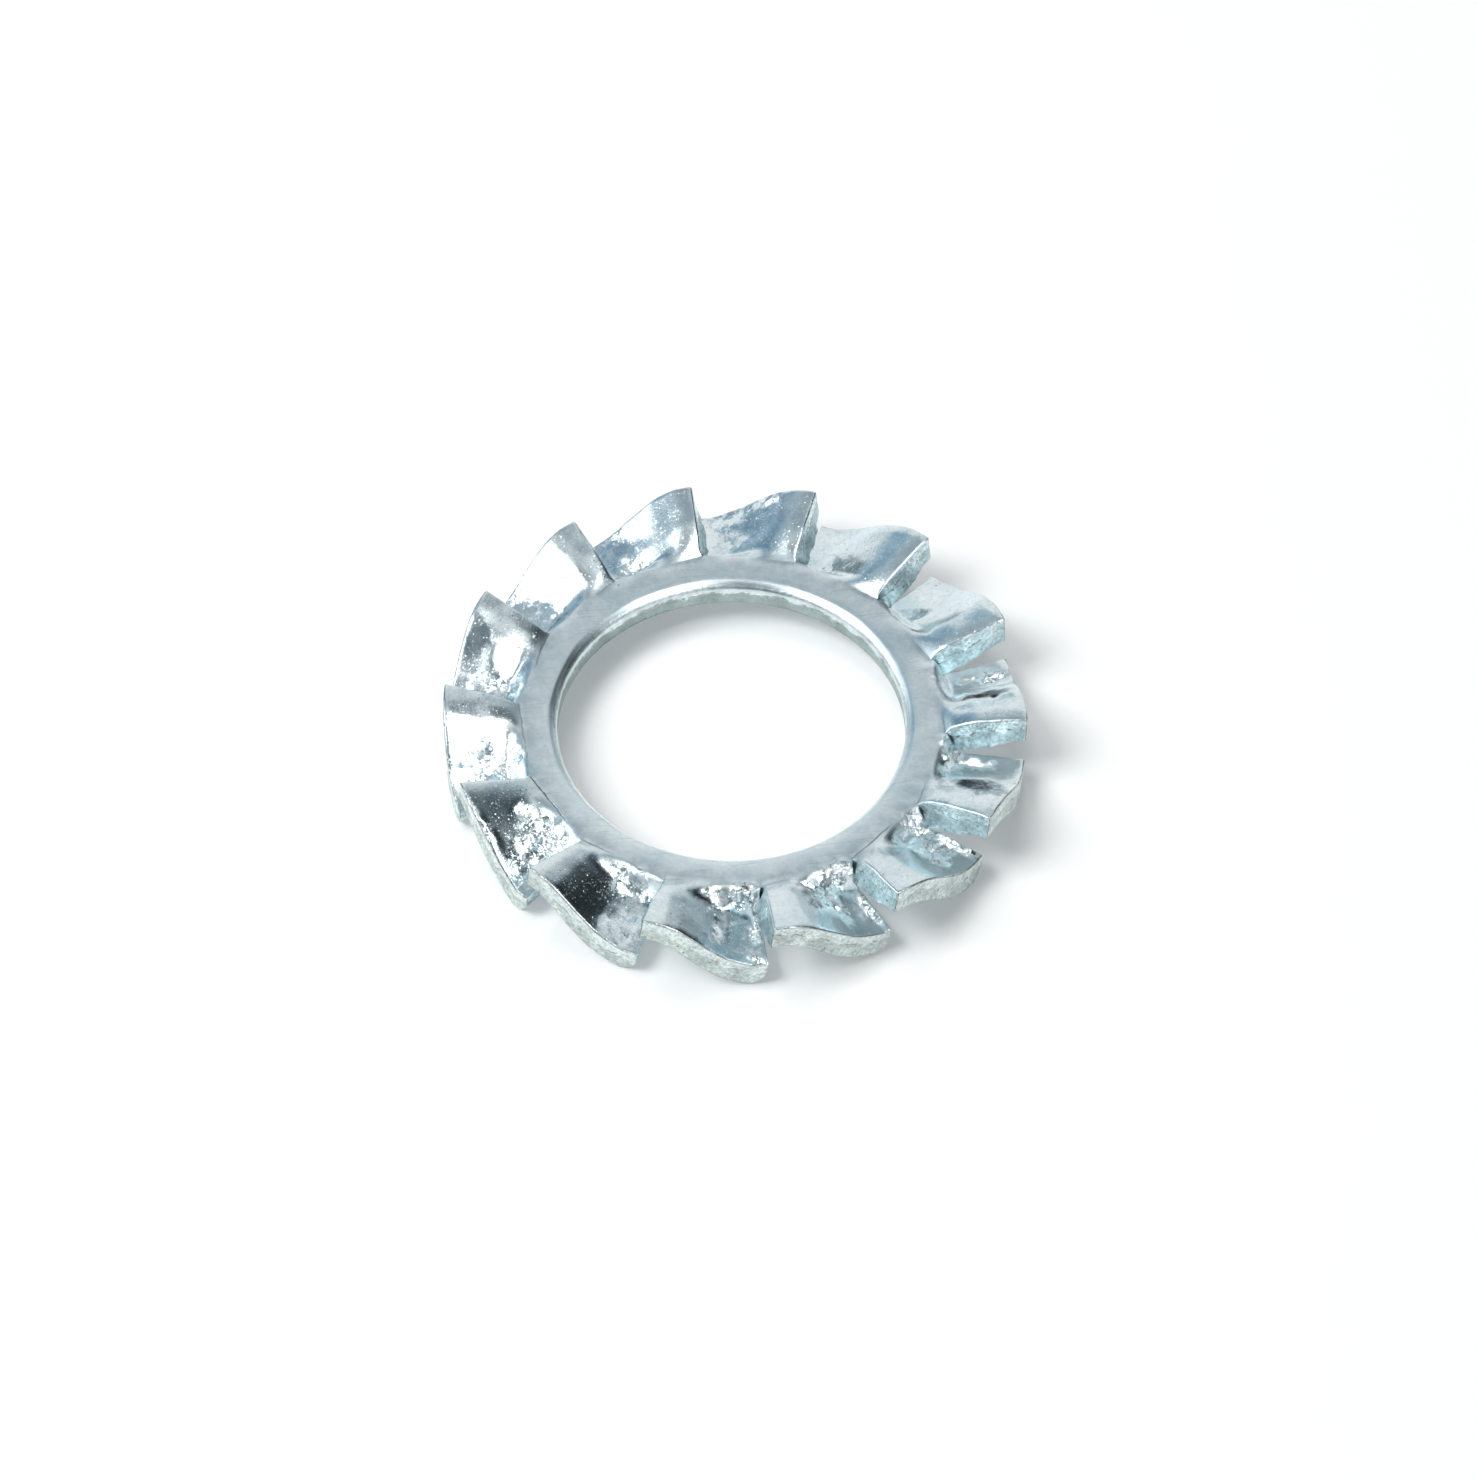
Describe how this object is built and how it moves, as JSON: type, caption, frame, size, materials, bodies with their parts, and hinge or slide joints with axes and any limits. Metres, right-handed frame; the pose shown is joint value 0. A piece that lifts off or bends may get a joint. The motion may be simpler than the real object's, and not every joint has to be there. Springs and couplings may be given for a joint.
{
  "type": "toothed lock washer",
  "caption": "Flat steel ring whose twisted outer teeth overlap like fan blades and bite into the screw head and the seat, so a tightened screw can't work loose.",
  "frame": {"origin": "on the bore axis, in the plane that the feet of the teeth stand on", "axes": "+Z along the bore axis; +X through the middle of one tooth"},
  "size_m": [0.0176, 0.0176, 0.0026],
  "materials": {
    "zinc_plated_steel": "bright zinc plate over stamped spring steel, satin on the flat ring, glossy and crumpled on the teeth, matt on the cut edges"
  },
  "bodies": {
    "root": {"washer": "zinc_plated_steel"}
  },
  "joints": []
}
